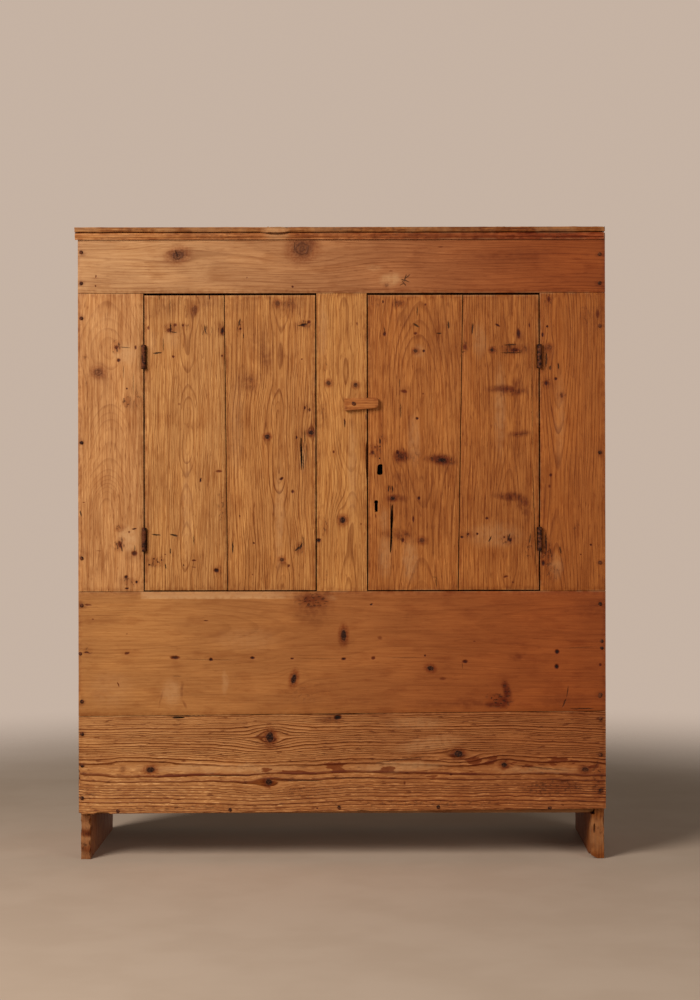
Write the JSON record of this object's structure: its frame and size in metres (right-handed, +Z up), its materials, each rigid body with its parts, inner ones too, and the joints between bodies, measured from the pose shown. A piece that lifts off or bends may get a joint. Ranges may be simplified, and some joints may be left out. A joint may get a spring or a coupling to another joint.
{
  "type": "jelly cupboard",
  "caption": "Primitive pine jelly cupboard: nailed plank case on side-board feet, deep bin, shelves behind paired ledged doors on butt hinges, turn button.",
  "frame": {"origin": "on the floor, under the middle of the cupboard's box", "axes": "+Z up, +Y towards the back, the doors face -Y, +X to the right as seen from the front"},
  "size_m": [1.328, 0.456, 1.586],
  "materials": {
    "pine": "old waxed pine, satin, worn pale along its edges",
    "inner_pine": "bare aged pine, matt",
    "iron": "rusted wrought iron, matt"
  },
  "bodies": {
    "case": {"top_board_front": "pine", "top_board_back": "pine", "bead_moulding": "pine", "side_board_left": "pine", "side_board_right": "pine", "lower_front_board": "pine", "upper_front_board": "pine", "top_rail": "pine", "left_stile": "pine", "right_stile": "pine", "centre_stile": "pine", "case_floor": "inner_pine", "lower_shelf": "inner_pine", "upper_shelf": "inner_pine", "back_board_1": "inner_pine", "back_board_2": "inner_pine", "back_board_3": "inner_pine", "back_board_4": "inner_pine", "left_upper_hinge_stile_leaf": "iron", "left_upper_hinge_pin": "iron", "left_lower_hinge_stile_leaf": "iron", "left_lower_hinge_pin": "iron", "right_upper_hinge_stile_leaf": "iron", "right_upper_hinge_pin": "iron", "right_lower_hinge_stile_leaf": "iron", "right_lower_hinge_pin": "iron", "turn_button_screw": "iron", "top_rail_nail_1": "iron", "top_rail_nail_2": "iron", "top_rail_nail_3": "iron", "top_rail_nail_4": "iron", "left_stile_nail_1": "iron", "left_stile_nail_2": "iron", "left_stile_nail_3": "iron", "right_stile_nail_1": "iron", "right_stile_nail_2": "iron", "right_stile_nail_3": "iron", "upper_front_board_nail_1": "iron", "upper_front_board_nail_2": "iron", "upper_front_board_nail_3": "iron", "upper_front_board_nail_4": "iron", "lower_front_board_nail_1": "iron", "lower_front_board_nail_2": "iron", "lower_front_board_nail_3": "iron", "lower_front_board_nail_4": "iron", "lower_front_board_nail_5": "iron", "lower_front_board_nail_6": "iron"},
    "left_door": {"left_door_outer_board": "pine", "left_door_inner_board": "pine", "left_door_upper_batten": "inner_pine", "left_door_lower_batten": "inner_pine", "left_upper_hinge_door_leaf": "iron", "left_lower_hinge_door_leaf": "iron"},
    "right_door": {"right_door_outer_board": "pine", "right_door_inner_board": "pine", "right_door_upper_batten": "inner_pine", "right_door_lower_batten": "inner_pine", "right_upper_hinge_door_leaf": "iron", "right_lower_hinge_door_leaf": "iron"},
    "turn_button": {"turn_button": "pine"}
  },
  "joints": [
    {"name": "left_door_hinge", "type": "hinge", "parent": "case", "child": "left_door", "pos_m": [-0.49075, -0.21795, 1.03], "axis": [0, 0, -1], "range_deg": [0, 170]},
    {"name": "right_door_hinge", "type": "hinge", "parent": "case", "child": "right_door", "pos_m": [0.49875, -0.21795, 1.03], "axis": [0, 0, 1], "range_deg": [0, 170]},
    {"name": "turn_button_pivot", "type": "hinge", "parent": "case", "child": "turn_button", "pos_m": [0.0345, -0.21875, 1.143], "axis": [0, 1, 0], "continuous": true}
  ]
}
